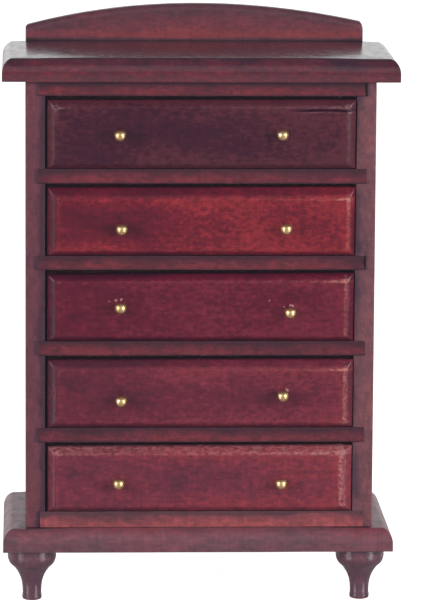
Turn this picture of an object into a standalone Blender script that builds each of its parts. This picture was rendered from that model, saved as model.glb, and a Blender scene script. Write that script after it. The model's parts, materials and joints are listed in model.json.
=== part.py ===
"""Miniature chest of five drawers, one twelfth of full size.

A glued case of side boards and housed dust boards stands on a moulded base board with
four turned feet. A back board covers the case and rises behind the top as an arched
crest. Each drawer is a grooved box behind a round-edged front with two brass ball knobs.

Frame: metres, +X to the right of a person facing the drawers, +Y to the back, +Z up.
The origin is on the ground, under the middle of the whole chest, knobs included.
"""

import math
from typing import NamedTuple

import bmesh
import bpy

MM = 0.001

# Stock and joints
GLUE = 0.05 * MM                 # glue line between two pieces that touch
OVERCUT = 1.0 * MM               # how far a cutter runs past the wood
TOP_WIDTH = 73.0 * MM            # top board, end to end
BASE_WIDTH = 72.8 * MM
CASE_WIDTH = 64.4 * MM
CASE_HEIGHT = 83.6 * MM
CASE_DEPTH = 26.7 * MM           # side boards, front to back
SIDE_THICKNESS = 3.6 * MM
RIGHT_LEAN = 0.3 * MM            # the right side board's foot stands out this much further
BACK_THICKNESS = 3.6 * MM
TOP_THICKNESS = 4.45 * MM
BASE_THICKNESS = 4.5 * MM
TOP_OVERHANG = 1.6 * MM          # in front of the case
BASE_OVERHANG = 1.75 * MM
MOULDING_WIDTH = 1.7 * MM        # the rounded upper edge of top and base, seen from above
MOULDING_DROP = 2.9 * MM         # and seen from the front
MOULDING_STEPS = 5

# Dust boards: the case's top, four dividers and its bottom, housed in the sides
BOARD_RECESS = 0.1 * MM          # their front edges sit this far behind the sides'
HOUSING_DEPTH = 1.9 * MM
TIGHT_END = 0.1 * MM             # room past the end of a well cut board
SHORT_END = 0.6 * MM             # and of one cut short, which leaves an open slot

# Crest, the arched head of the back board
CREST_RISE = 6.9 * MM            # above the top board, at the middle
CREST_LEFT_RISE = 2.7 * MM       # and at its two ends
CREST_RIGHT_RISE = 3.4 * MM
BACK_WIDTH = 64.0 * MM
BACK_SHIFT = -0.17 * MM          # it sits this far off the middle
CREST_ROUNDING = 0.6 * MM
CREST_ROUNDING_STEPS = 3
CREST_ARC_STEPS = 10             # in each half of the arch
FLAT_ANGLE = math.radians(0.1)   # faces that meet at less are one flat face

# Turned feet
FOOT_HEIGHT = 10.05 * MM
FOOT_SPREAD = 30.8 * MM          # axis to the middle of the front row
REAR_FOOT_SPREAD = 31.6 * MM
FOOT_SHIFT = -0.2 * MM           # all four sit this far off the middle
FOOT_INSET = 5.5 * MM            # axis to the base board's front and back edges
SPIGOT_RADIUS = 1.4 * MM
SPIGOT_HEIGHT = 3.2 * MM
SHOULDER_RADIUS = 4.55 * MM
SHOULDER_ROUND = 1.4 * MM        # half width of the shoulder's oval
SHOULDER_HALF_HEIGHT = 2.15 * MM
SHOULDER_Z = 8.6 * MM
SHOULDER_END = math.radians(68)  # where the oval meets the hollow of the leg
ANKLE_RADIUS = 1.76 * MM
ANKLE_Z = 1.3 * MM
HOLLOW_POWER = 2.65
TOE_RADIUS = 1.84 * MM
TOE_Z = 0.6 * MM
SOLE_RADIUS = 1.58 * MM
FOOT_STEPS = 20                  # around a foot
SHOULDER_STEPS = 5               # down its profile
HOLLOW_STEPS = 6
SMOOTH_ANGLE = math.radians(40)  # turned faces that meet at less are shaded smooth

# Drawers
PROUD = 1.2 * MM                 # fronts stand this far in front of the case
FRONT_THICKNESS = 3.6 * MM
FRONT_ROUNDING = 1.4 * MM
FRONT_ROUNDING_STEPS = 4
FLOOR_GAP = 0.12 * MM            # under a drawer
HEAD_GAP = 0.65 * MM             # over a drawer
BOX_THICKNESS = 1.6 * MM         # drawer sides and back
BOX_REAR = 25.9 * MM             # back of the drawer, behind the case's front
LAP_DEPTH = 1.8 * MM             # how far the sides lap into the front
SIDES_BELOW_FRONT = 1.2 * MM     # the sides' upper edges, under the front's
BACK_BELOW_SIDES = 0.8 * MM
PANEL_THICKNESS = 1.2 * MM       # drawer bottom
GROOVE_HEIGHT = 1.3 * MM
GROOVE_DEPTH = 0.7 * MM
GROOVE_ABOVE_EDGE = 0.5 * MM

# Brass knobs, turned with their pins in one piece
BALL_RADIUS = 1.1 * MM
BALL_CENTRE = 1.5 * MM           # in front of the drawer front
NECK_RADIUS = 0.55 * MM
FLARE_RADIUS = 0.75 * MM
PIN_RADIUS = 0.36 * MM
PIN_LENGTH = 2.9 * MM
PIN_HOLE_RADIUS = 0.42 * MM
PIN_HOLE_DEPTH = 3.1 * MM
KNOB_STEPS = 12                  # around a knob
BALL_STEPS = 6                   # from its tip to its neck


class DrawerFit(NamedTuple):
    """What differs between the hand-fitted drawers, each knob's place included."""

    width: float
    shift: float
    knob_left: float
    knob_right: float
    drop_left: float
    drop_right: float


# From the top drawer down. Knobs: places across the front, then drops below mid-height.
DRAWERS = (
    DrawerFit(56.60 * MM, 0.15 * MM, -14.90 * MM, 14.85 * MM, 0.20 * MM, 0.10 * MM),
    DrawerFit(56.65 * MM, 0.18 * MM, -14.55 * MM, 15.70 * MM, 1.40 * MM, 1.30 * MM),
    DrawerFit(56.60 * MM, 0.20 * MM, -14.70 * MM, 16.60 * MM, 0.00 * MM, 0.90 * MM),
    DrawerFit(56.60 * MM, 0.25 * MM, -14.55 * MM, 15.40 * MM, 1.30 * MM, 0.35 * MM),
    DrawerFit(56.60 * MM, 0.25 * MM, -14.95 * MM, 15.25 * MM, 0.75 * MM, 0.80 * MM),
)


class DustBoard(NamedTuple):
    """Heights above the case's bottom. The ends are the room left in the housings."""

    name: str
    underside: float
    thickness: float
    left_end: float
    right_end: float


# From the bottom up. The drawer openings between them differ by a few tenths.
DUST_BOARDS = (
    DustBoard("case_bottom", 0.0, 2.95 * MM, SHORT_END, TIGHT_END),
    DustBoard("divider_4", 16.20 * MM, 2.70 * MM, TIGHT_END, TIGHT_END),
    DustBoard("divider_3", 32.60 * MM, 2.65 * MM, TIGHT_END, TIGHT_END),
    DustBoard("divider_2", 48.70 * MM, 2.55 * MM, TIGHT_END, SHORT_END),
    DustBoard("divider_1", 64.80 * MM, 2.65 * MM, TIGHT_END, TIGHT_END),
    DustBoard("case_top", 81.00 * MM, 2.60 * MM, TIGHT_END, SHORT_END),
)

# Heights and depths that follow
CASE_BOTTOM = FOOT_HEIGHT + BASE_THICKNESS + GLUE
TOP_UNDERSIDE = CASE_BOTTOM + CASE_HEIGHT + GLUE
TOP_SURFACE = TOP_UNDERSIDE + TOP_THICKNESS
BACK_FRONT = CASE_DEPTH + GLUE
BACK_REAR = BACK_FRONT + BACK_THICKNESS
KNOB_REACH = PROUD + BALL_CENTRE + BALL_RADIUS
CASE_FRONT_Y = (KNOB_REACH - BACK_REAR) / 2
HOUSING_WIDTH = CASE_WIDTH - 2 * (SIDE_THICKNESS - HOUSING_DEPTH)

# Finishes: linear colour, roughness, metallic
CASE_LACQUER = ((0.130, 0.026, 0.036), 0.30, 0.0)
FRONT_LACQUER = ((0.190, 0.020, 0.033), 0.28, 0.0)
BARE_WOOD = ((0.520, 0.330, 0.175), 0.70, 0.0)
BRASS = ((0.830, 0.600, 0.230), 0.18, 1.0)


def clear_scene():
    for item in list(bpy.data.objects):
        bpy.data.objects.remove(item, do_unlink=True)


def new_collection(name):
    collection = bpy.data.collections.new(name)
    bpy.context.scene.collection.children.link(collection)
    return collection


def new_material(name, finish):
    colour, roughness, metallic = finish
    material = bpy.data.materials.new(name)
    material.use_nodes = True
    shader = material.node_tree.nodes["Principled BSDF"]
    shader.inputs["Base Color"].default_value = (*colour, 1.0)
    shader.inputs["Roughness"].default_value = roughness
    shader.inputs["Metallic"].default_value = metallic
    return material


def add_frame(name, location):
    """An empty that holds the pieces that share its place, such as one drawer's."""
    empty = bpy.data.objects.new(name, None)
    empty.location = location
    PARTS.objects.link(empty)
    return empty


def add_part(name, mesh, finish, frame, location):
    part = bpy.data.objects.new(name, mesh)
    mesh.materials.append(new_material(name + "_finish", finish))
    PARTS.objects.link(part)
    part.parent = frame
    part.location = location
    return part


def add_cutter(name, mesh, frame, location):
    cutter = bpy.data.objects.new(name, mesh)
    CUTTERS.objects.link(cutter)
    cutter.parent = frame
    cutter.location = location
    cutter.display_type = "WIRE"
    cutter.hide_render = True
    return cutter


def cut(part, cutter):
    modifier = part.modifiers.new(cutter.name, "BOOLEAN")
    modifier.operation = "DIFFERENCE"
    modifier.solver = "EXACT"
    modifier.object = cutter


def mesh_from(name, solid):
    mesh = bpy.data.meshes.new(name)
    solid.to_mesh(mesh)
    solid.free()
    return mesh


def cube_of(size):
    """A box about its own centre, as an editable mesh."""
    solid = bmesh.new()
    bmesh.ops.create_cube(solid, size=1.0)
    bmesh.ops.scale(solid, vec=size, verts=solid.verts)
    return solid


def box_mesh(name, size):
    return mesh_from(name, cube_of(size))


def round_edges(solid, chosen, width, segments):
    """Rounds the edges for which chosen(middle) is true, middle being the edge's centre."""
    edges = [edge for edge in solid.edges if chosen((edge.verts[0].co + edge.verts[1].co) / 2)]
    bmesh.ops.bevel(
        solid,
        geom=edges,
        offset=width,
        offset_type="OFFSET",
        segments=segments,
        profile=0.5,
        affect="EDGES",
        clamp_overlap=False,
    )


def middle_of(low, high):
    return (low + high) / 2


def moulded_board(name, width, depth, thickness, location):
    """A board with an oval moulding worked on its upper edge, at the front and both ends."""
    flatten = MOULDING_WIDTH / MOULDING_DROP
    solid = cube_of((width, depth, thickness * flatten))
    top = thickness * flatten / 2

    def on_moulding(middle):
        at_back = middle.y > depth / 2 - GLUE
        return middle.z > top - GLUE and not at_back

    round_edges(solid, on_moulding, MOULDING_WIDTH, MOULDING_STEPS)
    bmesh.ops.scale(solid, vec=(1.0, 1.0, 1 / flatten), verts=solid.verts)
    return add_part(name, mesh_from(name, solid), CASE_LACQUER, CASE, location)


def turned_mesh(name, profile, steps):
    """A solid of revolution about Z. The profile runs from the axis at the top, down the
    outside and back to the axis at the bottom."""
    outline = bpy.data.meshes.new(name + "_profile")
    corners = [(radius, 0.0, height) for radius, height in profile]
    outline.from_pydata(corners, [(i, i + 1) for i in range(len(corners) - 1)], [])
    carrier = bpy.data.objects.new(name + "_profile", outline)
    bpy.context.scene.collection.objects.link(carrier)
    screw = carrier.modifiers.new("turn", "SCREW")
    screw.axis = "Z"
    screw.angle = math.tau
    screw.steps = steps
    screw.render_steps = steps
    screw.use_merge_vertices = True
    screw.merge_threshold = 0.001 * MM
    graph = bpy.context.evaluated_depsgraph_get()
    mesh = bpy.data.meshes.new_from_object(carrier.evaluated_get(graph))
    mesh.name = name
    bpy.data.objects.remove(carrier, do_unlink=True)
    mesh.shade_smooth()
    mesh.set_sharp_from_angle(angle=SMOOTH_ANGLE)
    return mesh


def cylinder_mesh(name, radius, length, sides):
    solid = bmesh.new()
    bmesh.ops.create_cone(
        solid, cap_ends=True, segments=sides, radius1=radius, radius2=radius, depth=length
    )
    return mesh_from(name, solid)


def make_housings():
    """Cutters for the through housings that hold the dust boards in both sides."""
    cutters = []
    for board in DUST_BOARDS:
        low = CASE_BOTTOM + board.underside - GLUE
        high = CASE_BOTTOM + board.underside + board.thickness + GLUE
        if board is DUST_BOARDS[0]:
            low -= OVERCUT
        if board is DUST_BOARDS[-1]:
            high += OVERCUT
        size = (HOUSING_WIDTH, CASE_DEPTH + 2 * OVERCUT, high - low)
        name = board.name + "_housing"
        place = (0.0, CASE_DEPTH / 2, middle_of(low, high))
        cutters.append(add_cutter(name, box_mesh(name, size), CASE, place))
    return cutters


def make_sides():
    """Both sides. The left one is plumb, and the right one leans in towards the top."""
    housings = make_housings()
    for name, hand, lean in (("side_left", -1, 0.0), ("side_right", 1, RIGHT_LEAN)):
        size = (SIDE_THICKNESS, CASE_DEPTH, CASE_HEIGHT)
        x = hand * (CASE_WIDTH - SIDE_THICKNESS + lean) / 2
        place = (x, CASE_DEPTH / 2, CASE_BOTTOM + CASE_HEIGHT / 2)
        side = add_part(name, box_mesh(name, size), CASE_LACQUER, CASE, place)
        side.rotation_euler = (0.0, -math.atan(lean / CASE_HEIGHT), 0.0)
        for housing in housings:
            cut(side, housing)


def make_dust_boards():
    depth = CASE_DEPTH - BOARD_RECESS
    for board in DUST_BOARDS:
        left = -HOUSING_WIDTH / 2 + board.left_end
        right = HOUSING_WIDTH / 2 - board.right_end
        size = (right - left, depth, board.thickness)
        place = (
            middle_of(left, right),
            BOARD_RECESS + depth / 2,
            CASE_BOTTOM + board.underside + board.thickness / 2,
        )
        add_part(board.name, box_mesh(board.name, size), CASE_LACQUER, CASE, place)


def half_arch(half_width, shoulder, apex):
    """Points of an arc that falls from the apex, over the middle, to a shoulder."""
    rise = apex - shoulder
    radius = (half_width**2 + rise**2) / (2 * rise)
    sweep = math.asin(half_width / radius)
    points = []
    for step in range(CREST_ARC_STEPS + 1):
        angle = sweep * step / CREST_ARC_STEPS
        points.append((radius * math.sin(angle), apex - radius * (1 - math.cos(angle))))
    return points


def crest_outline(half_width, left_shoulder, right_shoulder, apex, foot):
    """Corners of the back board seen from the front: two feet and an arched head."""
    right = half_arch(half_width, right_shoulder, apex)
    left = [(-x, z) for x, z in half_arch(half_width, left_shoulder, apex)]
    return [(-half_width, foot), (half_width, foot)] + right[:0:-1] + left


def upright_panel_mesh(name, corners, thickness):
    """A flat outline in X and Z, thickened evenly about Y = 0."""
    curve = bpy.data.curves.new(name + "_outline", "CURVE")
    curve.dimensions = "2D"
    curve.fill_mode = "BOTH"
    curve.extrude = thickness / 2
    spline = curve.splines.new("POLY")
    spline.points.add(len(corners) - 1)
    for point, (x, z) in zip(spline.points, corners):
        point.co = (x, z, 0.0, 1.0)
    spline.use_cyclic_u = True
    carrier = bpy.data.objects.new(name + "_outline", curve)
    bpy.context.scene.collection.objects.link(carrier)
    graph = bpy.context.evaluated_depsgraph_get()
    mesh = bpy.data.meshes.new_from_object(carrier.evaluated_get(graph))
    mesh.name = name
    bpy.data.objects.remove(carrier, do_unlink=True)
    solid = bmesh.new()
    solid.from_mesh(mesh)
    bmesh.ops.remove_doubles(solid, verts=solid.verts, dist=0.001 * MM)
    bmesh.ops.dissolve_limit(
        solid, angle_limit=FLAT_ANGLE, verts=solid.verts, edges=solid.edges
    )
    for vertex in solid.verts:
        vertex.co.y, vertex.co.z = -vertex.co.z, vertex.co.y
    bmesh.ops.recalc_face_normals(solid, faces=solid.faces)
    return solid


def make_back_board():
    left_shoulder = TOP_SURFACE + CREST_LEFT_RISE
    right_shoulder = TOP_SURFACE + CREST_RIGHT_RISE
    apex = TOP_SURFACE + CREST_RISE
    corners = crest_outline(BACK_WIDTH / 2, left_shoulder, right_shoulder, apex, CASE_BOTTOM)
    solid = upright_panel_mesh("back_board", corners, BACK_THICKNESS)

    def on_arris(middle):
        on_front = middle.y < GLUE - BACK_THICKNESS / 2
        return on_front and middle.z > left_shoulder - GLUE

    round_edges(solid, on_arris, CREST_ROUNDING, CREST_ROUNDING_STEPS)
    place = (BACK_SHIFT, middle_of(BACK_FRONT, BACK_REAR), 0.0)
    add_part("back_board", mesh_from("back_board", solid), CASE_LACQUER, CASE, place)


def make_top_board():
    depth = TOP_OVERHANG + CASE_DEPTH
    place = (0.0, CASE_DEPTH - depth / 2, TOP_UNDERSIDE + TOP_THICKNESS / 2)
    moulded_board("top_board", TOP_WIDTH, depth, TOP_THICKNESS, place)


def foot_places():
    """Names and axes of the feet, in the case's frame."""
    front = FOOT_INSET - BASE_OVERHANG
    rear = BACK_REAR - FOOT_INSET
    return {
        "foot_front_left": (FOOT_SHIFT - FOOT_SPREAD, front),
        "foot_front_right": (FOOT_SHIFT + FOOT_SPREAD, front),
        "foot_rear_left": (FOOT_SHIFT - REAR_FOOT_SPREAD, rear),
        "foot_rear_right": (FOOT_SHIFT + REAR_FOOT_SPREAD, rear),
    }


def make_base_board():
    depth = BASE_OVERHANG + BACK_REAR
    place = (0.0, BACK_REAR - depth / 2, FOOT_HEIGHT + BASE_THICKNESS / 2)
    base = moulded_board("base_board", BASE_WIDTH, depth, BASE_THICKNESS, place)
    hole_depth = SPIGOT_HEIGHT + 2 * GLUE
    low = FOOT_HEIGHT - OVERCUT
    high = FOOT_HEIGHT + hole_depth
    for name, (x, y) in foot_places().items():
        hole = cylinder_mesh(name + "_hole", SPIGOT_RADIUS + GLUE, high - low, FOOT_STEPS)
        cut(base, add_cutter(name + "_hole", hole, CASE, (x, y, middle_of(low, high))))


def foot_profile():
    seat = FOOT_HEIGHT - GLUE
    oval_centre = SHOULDER_RADIUS - SHOULDER_ROUND
    points = [(0.0, seat + SPIGOT_HEIGHT), (SPIGOT_RADIUS, seat + SPIGOT_HEIGHT)]
    points.append((SPIGOT_RADIUS, seat))
    points.append((SHOULDER_RADIUS - 2 * GLUE, seat))
    for step in range(SHOULDER_STEPS + 1):
        angle = SHOULDER_END * step / SHOULDER_STEPS
        radius = oval_centre + SHOULDER_ROUND * math.cos(angle)
        points.append((radius, SHOULDER_Z - SHOULDER_HALF_HEIGHT * math.sin(angle)))
    hollow_radius, hollow_z = points[-1]
    for step in range(1, HOLLOW_STEPS + 1):
        along = 1 - step / HOLLOW_STEPS
        radius = ANKLE_RADIUS + (hollow_radius - ANKLE_RADIUS) * along**HOLLOW_POWER
        points.append((radius, ANKLE_Z + (hollow_z - ANKLE_Z) * along))
    points += [(TOE_RADIUS, TOE_Z), (TOE_RADIUS, TOE_Z / 2), (SOLE_RADIUS, 0.0), (0.0, 0.0)]
    return points


def make_feet():
    for name, (x, y) in foot_places().items():
        mesh = turned_mesh(name, foot_profile(), FOOT_STEPS)
        add_part(name, mesh, CASE_LACQUER, CASE, (x, y, 0.0))


def knob_profile():
    """Ball, neck, flare and pin. Height 0 is the drawer front's face."""
    points = []
    neck_angle = math.asin(NECK_RADIUS / BALL_RADIUS)
    for step in range(BALL_STEPS + 1):
        angle = (math.pi - neck_angle) * step / BALL_STEPS
        radius = BALL_RADIUS * math.sin(angle)
        points.append((radius, BALL_CENTRE + BALL_RADIUS * math.cos(angle)))
    points[0] = (0.0, BALL_CENTRE + BALL_RADIUS)
    points.append((FLARE_RADIUS, GLUE))
    points.append((PIN_RADIUS, GLUE))
    points.append((PIN_RADIUS, -PIN_LENGTH))
    points.append((0.0, -PIN_LENGTH))
    return points


def make_knob(name, mesh, frame, place):
    knob = add_part(name, mesh, BRASS, frame, place)
    knob.rotation_euler = (math.pi / 2, 0.0, 0.0)


def make_drawer_front(name, fit, height, frame, knobs):
    solid = cube_of((fit.width, FRONT_THICKNESS, height))

    def on_face(middle):
        return middle.y < GLUE - FRONT_THICKNESS / 2

    round_edges(solid, on_face, FRONT_ROUNDING, FRONT_ROUNDING_STEPS)
    place = (fit.shift, FRONT_THICKNESS / 2 - PROUD, FLOOR_GAP + height / 2)
    front = add_part(name, mesh_from(name, solid), FRONT_LACQUER, frame, place)
    inner_face = FRONT_THICKNESS - PROUD
    lap_size = (BOX_THICKNESS + GLUE + OVERCUT, LAP_DEPTH + OVERCUT, height + 2 * OVERCUT)
    for side, hand in (("left", -1), ("right", 1)):
        x = fit.shift + hand * (fit.width / 2 - BOX_THICKNESS - GLUE + lap_size[0] / 2)
        lap_name = f"{name}_lap_{side}"
        lap_place = (x, inner_face - LAP_DEPTH + lap_size[1] / 2, place[2])
        cut(front, add_cutter(lap_name, box_mesh(lap_name, lap_size), frame, lap_place))
        hole_name = f"{name}_hole_{side}"
        length = PIN_HOLE_DEPTH + OVERCUT
        knob_x, knob_z = knobs[side]
        hole = cylinder_mesh(hole_name, PIN_HOLE_RADIUS, length, KNOB_STEPS)
        hole_place = (knob_x, PIN_HOLE_DEPTH - PROUD - length / 2, knob_z)
        cutter = add_cutter(hole_name, hole, frame, hole_place)
        cutter.rotation_euler = (math.pi / 2, 0.0, 0.0)
        cut(front, cutter)
    return front


def make_drawer_box(name, fit, height, frame, front):
    """Sides, back and bottom panel behind a drawer front."""
    inner_face = FRONT_THICKNESS - PROUD
    inner_width = fit.width - 2 * BOX_THICKNESS
    side_low = inner_face - LAP_DEPTH + GLUE
    side_height = height - SIDES_BELOW_FRONT
    groove_low = FLOOR_GAP + GROOVE_ABOVE_EDGE
    groove_high = groove_low + GROOVE_HEIGHT

    groove_front = inner_face - GROOVE_DEPTH
    groove_size = (
        inner_width + 2 * GROOVE_DEPTH,
        BOX_REAR + OVERCUT - groove_front,
        GROOVE_HEIGHT,
    )
    groove_place = (
        fit.shift,
        middle_of(groove_front, BOX_REAR + OVERCUT),
        middle_of(groove_low, groove_high),
    )
    groove_name = name + "_groove"
    groove = add_cutter(groove_name, box_mesh(groove_name, groove_size), frame, groove_place)
    cut(front, groove)

    for side, hand in (("left", -1), ("right", 1)):
        side_name = f"{name}_side_{side}"
        size = (BOX_THICKNESS, BOX_REAR - side_low, side_height)
        x = fit.shift + hand * (fit.width - BOX_THICKNESS) / 2
        place = (x, middle_of(side_low, BOX_REAR), FLOOR_GAP + side_height / 2)
        cut(add_part(side_name, box_mesh(side_name, size), BARE_WOOD, frame, place), groove)

    back_name = name + "_back"
    back_low = groove_high + GLUE
    back_high = FLOOR_GAP + side_height - BACK_BELOW_SIDES
    size = (inner_width - 2 * GLUE, BOX_THICKNESS, back_high - back_low)
    place = (fit.shift, BOX_REAR - BOX_THICKNESS / 2, middle_of(back_low, back_high))
    add_part(back_name, box_mesh(back_name, size), BARE_WOOD, frame, place)

    panel_name = name + "_bottom"
    panel_front = groove_front + GLUE
    size = (groove_size[0] - 2 * GLUE, BOX_REAR - panel_front, PANEL_THICKNESS)
    place = (fit.shift, middle_of(panel_front, BOX_REAR), middle_of(groove_low, groove_high))
    add_part(panel_name, box_mesh(panel_name, size), BARE_WOOD, frame, place)


def make_drawers():
    """One drawer in each opening between two dust boards, from the top down."""
    knob_mesh = turned_mesh("knob", knob_profile(), KNOB_STEPS)
    boards = DUST_BOARDS[::-1]
    for number, (fit, above, below) in enumerate(zip(DRAWERS, boards, boards[1:]), start=1):
        name = f"drawer_{number}"
        floor = below.underside + below.thickness
        opening = above.underside - floor
        height = opening - FLOOR_GAP - HEAD_GAP
        frame = add_frame(name + "_runner", (0.0, CASE_FRONT_Y, CASE_BOTTOM + floor))
        knobs = {
            "left": (fit.knob_left, opening / 2 - fit.drop_left),
            "right": (fit.knob_right, opening / 2 - fit.drop_right),
        }
        front = make_drawer_front(name + "_front", fit, height, frame, knobs)
        make_drawer_box(name, fit, height, frame, front)
        for side, (x, z) in knobs.items():
            make_knob(f"{name}_knob_{side}", knob_mesh.copy(), frame, (x, -PROUD, z))
    bpy.data.meshes.remove(knob_mesh)


clear_scene()
PARTS = new_collection("miniature_chest_of_drawers")
CUTTERS = new_collection("cutters")
CASE = add_frame("case_frame", (0.0, CASE_FRONT_Y, 0.0))

make_base_board()
make_feet()
make_sides()
make_dust_boards()
make_back_board()
make_top_board()
make_drawers()
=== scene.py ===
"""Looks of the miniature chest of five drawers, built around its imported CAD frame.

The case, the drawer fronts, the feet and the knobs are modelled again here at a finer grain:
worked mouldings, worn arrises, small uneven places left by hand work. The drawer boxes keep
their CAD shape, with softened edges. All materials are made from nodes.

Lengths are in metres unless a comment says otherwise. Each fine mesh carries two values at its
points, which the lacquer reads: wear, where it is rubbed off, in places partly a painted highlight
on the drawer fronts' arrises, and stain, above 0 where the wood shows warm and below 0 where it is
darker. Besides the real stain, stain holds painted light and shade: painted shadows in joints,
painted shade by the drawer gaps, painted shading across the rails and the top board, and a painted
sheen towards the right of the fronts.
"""

import json
import math
from typing import NamedTuple

import bpy
import numpy as np
from mathutils import Matrix, Vector, noise


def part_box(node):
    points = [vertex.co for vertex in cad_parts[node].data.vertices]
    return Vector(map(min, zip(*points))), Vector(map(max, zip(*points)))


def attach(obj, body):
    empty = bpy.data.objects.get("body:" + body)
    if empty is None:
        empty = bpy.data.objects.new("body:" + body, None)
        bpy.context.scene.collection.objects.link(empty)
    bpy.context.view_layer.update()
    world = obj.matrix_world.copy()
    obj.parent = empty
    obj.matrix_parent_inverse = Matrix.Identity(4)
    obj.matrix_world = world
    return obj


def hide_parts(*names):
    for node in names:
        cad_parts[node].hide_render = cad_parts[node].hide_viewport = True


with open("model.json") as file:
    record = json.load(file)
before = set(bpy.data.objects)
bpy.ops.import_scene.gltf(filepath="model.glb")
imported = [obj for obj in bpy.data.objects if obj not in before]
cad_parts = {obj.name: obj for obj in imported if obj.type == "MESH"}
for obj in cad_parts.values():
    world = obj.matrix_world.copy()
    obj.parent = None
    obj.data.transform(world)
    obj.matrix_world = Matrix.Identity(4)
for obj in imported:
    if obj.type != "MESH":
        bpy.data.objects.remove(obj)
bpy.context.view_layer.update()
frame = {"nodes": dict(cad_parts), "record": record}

MM = 0.001
TINY = 1e-7                      # in metres, below the size of any real step
SHARP_ANGLE = math.radians(50)   # faces that meet at more are shaded as a sharp edge
BEVEL_ANGLE = math.radians(40)   # edges of the drawer boxes that are sharper get softened
BODY_OF = {
    node: body
    for body, nodes in frame["record"]["behaviour"]["bodies"].items()
    for node in nodes
}

# Shape details, in metres
MOULDING_WIDTH = 1.7 * MM        # the rounded upper edge of the top and base boards
MOULDING_DROP = 2.9 * MM
MOULDING_SLOPES = (90, 84, 78, 72, 66, 60, 54, 48, 42, 36, 30, 25, 21, 17, 14)   # in degrees
CROWN_WIDTH = 5.0 * MM           # sanding let the flat fall away towards the moulding
CROWN_DROP = 0.03 * MM
CROWN_END_WIDTH = 10.0 * MM      # and more so towards the ends
CROWN_END_DROP = 0.20 * MM
CROWN_LEVEL = 15.0 * MM          # the ends begin this far from the middle, and run as far
FRONT_ROUNDING = 1.4 * MM        # the rounded edge of a drawer front
FRONT_SLOPES = (90, 78, 66, 58, 53, 50, 48, 46, 44, 41, 36, 27, 17, 9)
CREST_SLOPES = (90, 79, 68, 57, 47, 36, 25, 14, 4)
LOWER_ARRIS = ((0.25, 0.0), (0.1, 0.03), (0.03, 0.1), (0.0, 0.25))  # inset and height, in mm
ARRIS = 0.14 * MM                # softening of a worn sharp edge
ARRIS_REACH = 0.3 * MM           # how far rubbing reaches in from an arris
MOULDING_RUB = 0.25 * MM         # and on the mouldings' arrises
LAP_DEPTH = 1.8 * MM             # the drawer sides lap this far into the front
LAP_WIDTH = 1.65 * MM
REAR_CHAMFER = 0.1 * MM          # round the rear and the laps of a drawer front
CREST_LEFT_FALL = 4.2 * MM       # the arch falls this much from its middle to its ends
CREST_RIGHT_FALL = 3.5 * MM
CREST_ROUNDING = 1.1 * MM
CREST_END_ROUNDING = 0.15 * MM
CREST_LEFT_CORNER = (0.6 * MM, 0.5 * MM)     # width and height of its rounded corners
CREST_RIGHT_CORNER = (0.75 * MM, 1.5 * MM)
CLEAR = 0.02 * MM                # softened boards stay this much inside their CAD box
GLUE = 0.05 * MM                 # glue line between two pieces that touch
CASE_FOOT, CASE_HEAD = (corner[2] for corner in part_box("side_left"))
HOUSING_LEFT_END = 29.80 * MM    # the sides' grooves reach this far from the middle
HOUSING_RIGHT_END = 30.5 * MM
HOUSING_SLOPE = 0.03 * MM        # a groove's walls lean by this much
RIGHT_LEAN = 0.3 * MM            # the right side's foot stands out this much further
INNER_LEAN = 0.35                # share of the lean that the right side's inner face has
SIDE_OUTER_ROUNDING = 0.25 * MM
SIDE_INNER_ROUNDING = 0.1 * MM
SIDE_END_ROUNDING = 0.02 * MM
RAIL_ROUNDING = 0.04 * MM
RAIL_PROUD = 0.05 * MM           # lacquer brings the rails' front edges forward this much
SLOT_DEPTH = 0.5 * MM            # an open slot at a short end is filled further in
SLOT_RUN_START = 26.0 * MM       # the board's front edge is drawn in from here to its end
SLOT_RUN = 4.0 * MM
RAIL_FRONT_ROWS = (0.0, 0.03, 0.06, 0.1, 0.2, 0.35, 0.48, 0.52)     # in mm, to past the slot
FACE_CROWN = 0.05 * MM           # a sanded drawer front falls away towards its edges
FACE_CROWN_POWER = 6
BOX_SOFTENING = 0.1 * MM         # edges of the drawer boxes' sides and backs
PANEL_SOFTENING = 0.06 * MM      # and of their bottom panels

# Handwork: how far a surface wanders, and the size of its bumps
BOARD_WANDER = (0.02 * MM, 7 * MM)
RAIL_WANDER = (0.015 * MM, 5 * MM)
CREST_WANDER = (0.03 * MM, 7 * MM)
FRONT_WANDER = (0.03 * MM, 4 * MM)
FOOT_WANDER = (0.02 * MM, 3 * MM)

RAILS = ("case_bottom", "divider_4", "divider_3", "divider_2", "divider_1", "case_top")
SLOTS = {                        # end (-1 left, 1 right), and the slot's width at the
    "case_bottom": (-1, (0.35 * MM, 0.30 * MM, 0.20 * MM)),     # foot, middle and head
    "divider_2": (1, (0.15 * MM, 0.60 * MM, 0.25 * MM)),
    "case_top": (1, (0.30 * MM, 0.65 * MM, 0.60 * MM)),
}

# Wear of the arrises, from 0 to 1
UPPER_WEAR = 0.15                # of the top and base boards
LOWER_WEAR = 0.25
RAIL_WEAR = 0.12
SIDE_WEAR = 0.15
CREST_WEAR = 0.1
TOE_WEAR = 0.5
SHOULDER_WEAR = 0.25

# Stain and painted light and shade: warmer above 0, darker below
PAINTED_SHEEN_RIGHT = 1.2                # painted sheen: how much paler the fronts are painted towards the right, where the lamps' haze on the lacquer is brighter
WARM_RIM = 2.5 * MM              # a front's face is warm in from its arrises, over this length
EDGE_SHADING_RUN = 1.0 * MM        # and its rounded edges have their own stain and painted shade this far out
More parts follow.
